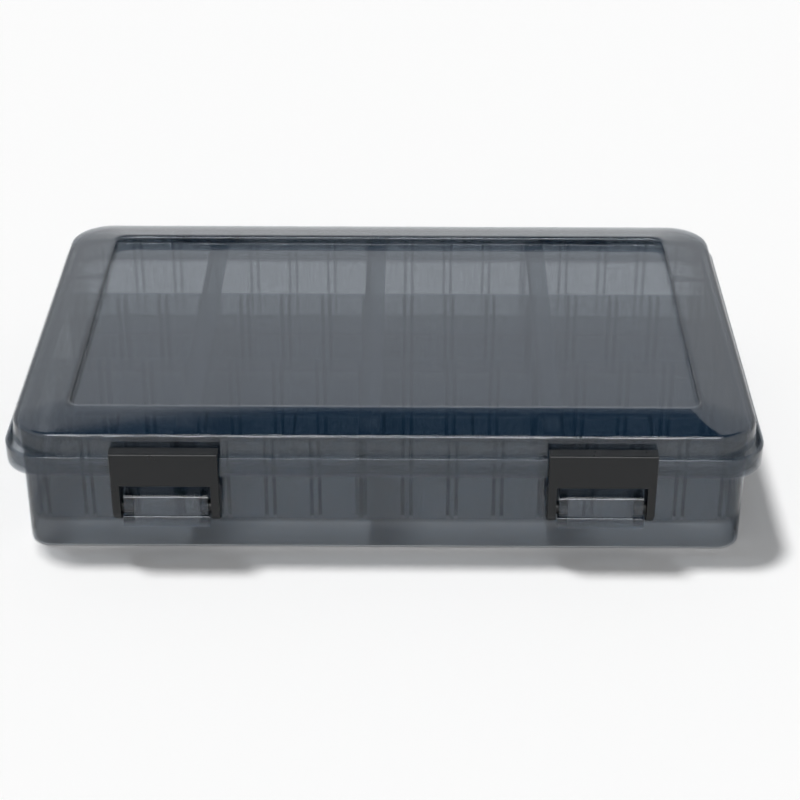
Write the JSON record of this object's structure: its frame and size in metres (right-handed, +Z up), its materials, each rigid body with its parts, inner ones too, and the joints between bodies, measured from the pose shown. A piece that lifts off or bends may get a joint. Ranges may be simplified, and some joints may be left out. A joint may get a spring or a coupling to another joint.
{
  "type": "tackle box",
  "caption": "Flat see-through smoke plastic tackle box: hinged lid with a sunk window, snap latches in front, and rows of compartments with loose dividers.",
  "frame": {"origin": "centre of the base, on the surface that the box stands on", "axes": "+X along the long side to the right, +Y from the latches to the hinges, +Z up"},
  "size_m": [0.356, 0.238, 0.0695],
  "materials": {
    "smoke_plastic": "polished, see-through smoke grey",
    "latch_plastic": "satin black",
    "pin_steel": "drawn steel wire"
  },
  "bodies": {
    "tray": {"tray": "smoke_plastic", "hinge_pin_left": "pin_steel", "hinge_pin_right": "pin_steel", "divider_front_1": "smoke_plastic", "divider_front_2": "smoke_plastic", "divider_front_3": "smoke_plastic", "divider_middle_1": "smoke_plastic", "divider_middle_2": "smoke_plastic", "divider_middle_3": "smoke_plastic", "divider_back_1": "smoke_plastic", "divider_back_2": "smoke_plastic", "divider_back_3": "smoke_plastic"},
    "lid": {"lid": "smoke_plastic"},
    "latch_left": {"latch_left": "latch_plastic"},
    "latch_right": {"latch_right": "latch_plastic"}
  },
  "joints": [
    {"name": "lid_hinge", "type": "hinge", "parent": "tray", "child": "lid", "pos_m": [0, 0.1172, 0.053], "axis": [-1, 0, 0], "range_deg": [0, 180]},
    {"name": "latch_left_pivot", "type": "hinge", "parent": "tray", "child": "latch_left", "pos_m": [-0.1014, -0.1128, 0.0282], "axis": [1, 0, 0], "range_deg": [0, 120]},
    {"name": "latch_right_pivot", "type": "hinge", "parent": "tray", "child": "latch_right", "pos_m": [0.1014, -0.1128, 0.0282], "axis": [1, 0, 0], "range_deg": [0, 120]}
  ]
}
